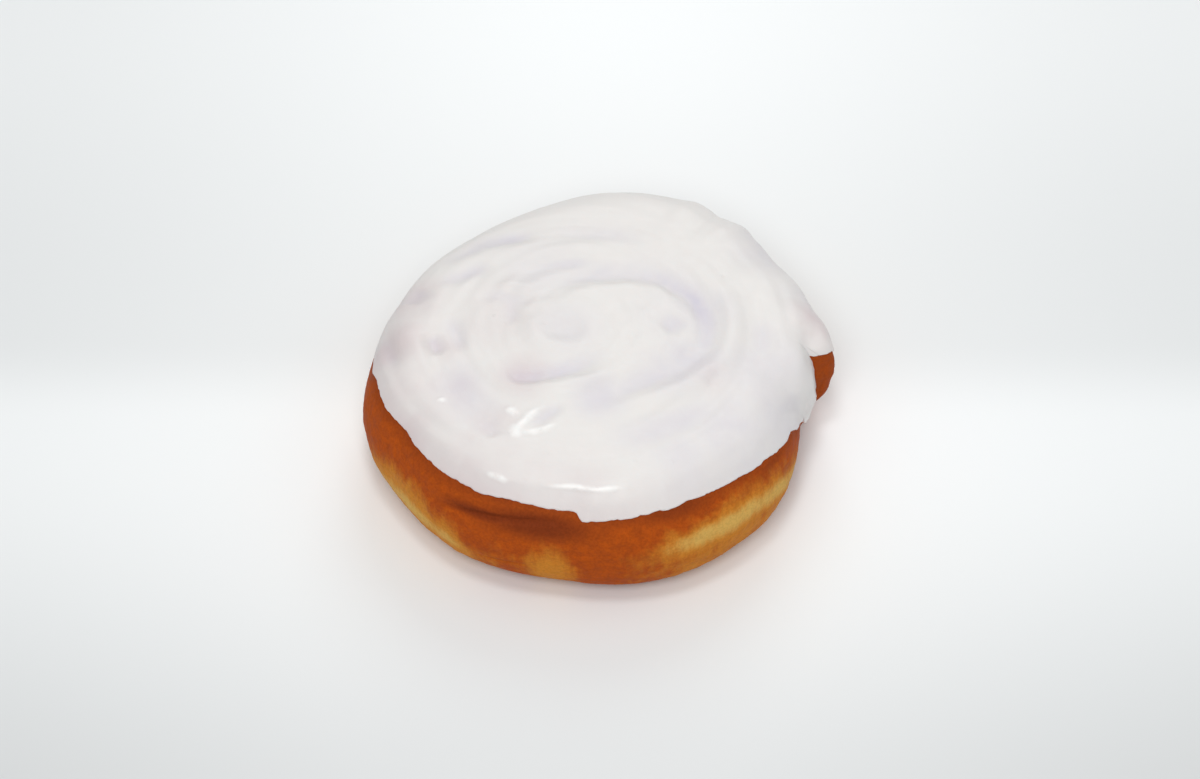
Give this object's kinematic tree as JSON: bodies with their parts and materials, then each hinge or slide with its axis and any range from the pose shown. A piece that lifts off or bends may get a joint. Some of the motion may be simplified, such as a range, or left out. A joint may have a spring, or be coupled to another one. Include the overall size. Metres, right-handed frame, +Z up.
{
  "type": "fried cinnamon roll",
  "caption": "Round fried cinnamon roll, a coil of browned dough with a blunt tail end at the side, under a swirled layer of white icing that hangs a little over the edge.",
  "frame": {"origin": "bottom centre of the roll's bounding box, on the surface it rests on", "axes": "+Z up through the coil, +X towards the tail end at the side, the coil winding inward counter-clockwise seen from above"},
  "size_m": [0.1152, 0.1146, 0.0382],
  "materials": {
    "dough": "matt fried crust",
    "icing": "soft, slightly glossy sugar icing"
  },
  "bodies": {
    "root": {"dough": "dough", "icing": "icing"}
  },
  "joints": []
}
